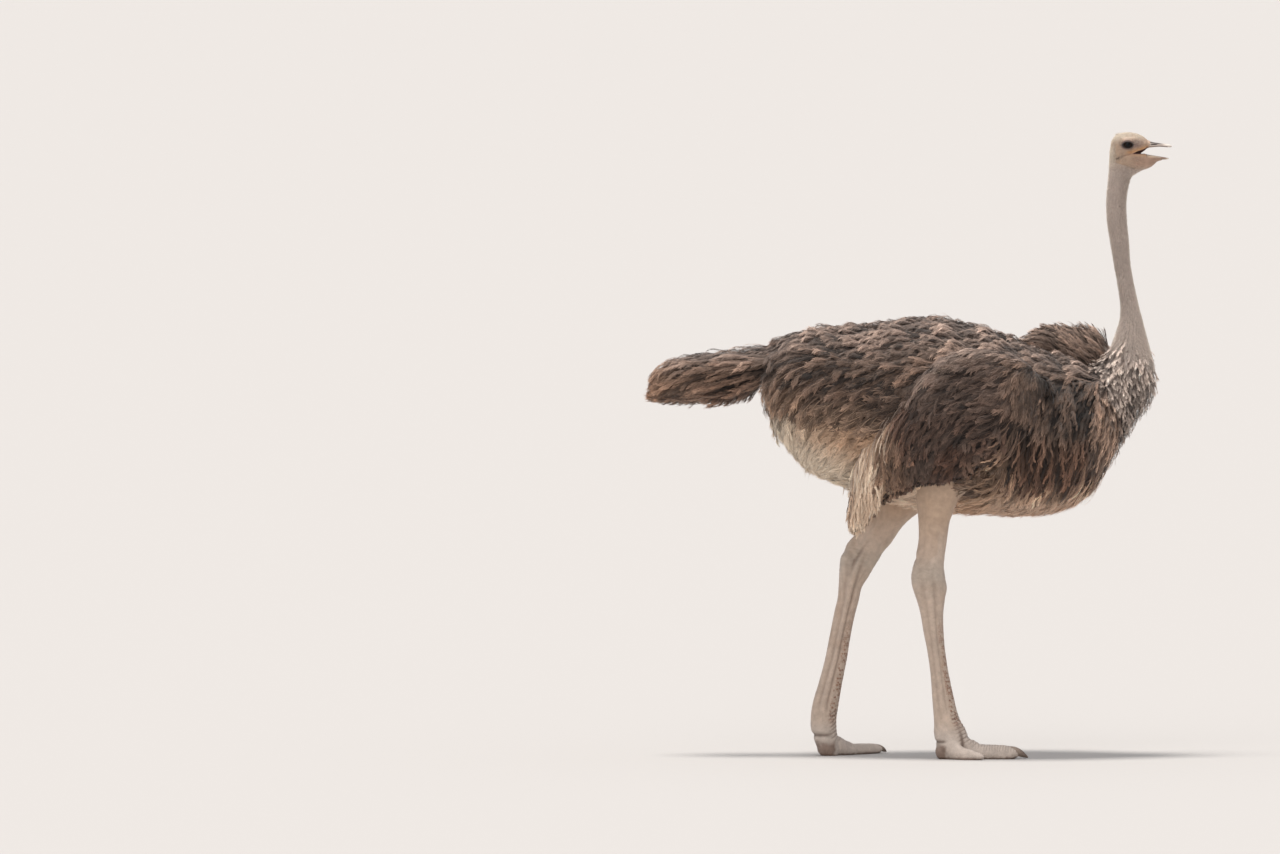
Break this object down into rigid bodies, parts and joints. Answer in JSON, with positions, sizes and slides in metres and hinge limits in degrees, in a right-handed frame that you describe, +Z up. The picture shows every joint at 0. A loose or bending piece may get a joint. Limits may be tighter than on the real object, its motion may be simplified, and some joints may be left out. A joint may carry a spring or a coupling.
{
  "type": "ostrich",
  "caption": "Life-size standing ostrich hen in mid stride, with loose grey-brown plumage, a long bare-looking neck, an open bill and strong scaly legs.",
  "frame": {"origin": "on the floor, under the middle of the bird's length and width", "axes": "+X is the way the bird faces, +Y is its left side, +Z is up"},
  "size_m": [1.565, 0.5584, 1.8809],
  "materials": {
    "plumage": "soft loose feathers, grey-brown with paler edges",
    "neck_and_head": "greyish pink skin under short cream down",
    "bill": "dull horn",
    "eye": "wet, dark brown",
    "leg_skin": "dry scaly skin",
    "claw": "worn horn"
  },
  "bodies": {
    "root": {"trunk": "plumage", "tail": "plumage", "wing_left": "plumage", "wing_right": "plumage", "neck_base": "neck_and_head", "neck_middle": "neck_and_head", "neck_upper": "neck_and_head", "head": "neck_and_head", "bill_upper": "bill", "bill_lower": "bill", "eye_left": "eye", "eye_right": "eye", "leg_upper_left": "leg_skin", "leg_upper_right": "leg_skin", "leg_lower_left": "leg_skin", "leg_lower_right": "leg_skin", "foot_left": "leg_skin", "foot_right": "leg_skin", "toe_inner_left": "leg_skin", "toe_inner_right": "leg_skin", "toe_outer_left": "leg_skin", "toe_outer_right": "leg_skin", "claw_left": "claw", "claw_right": "claw"}
  },
  "joints": []
}
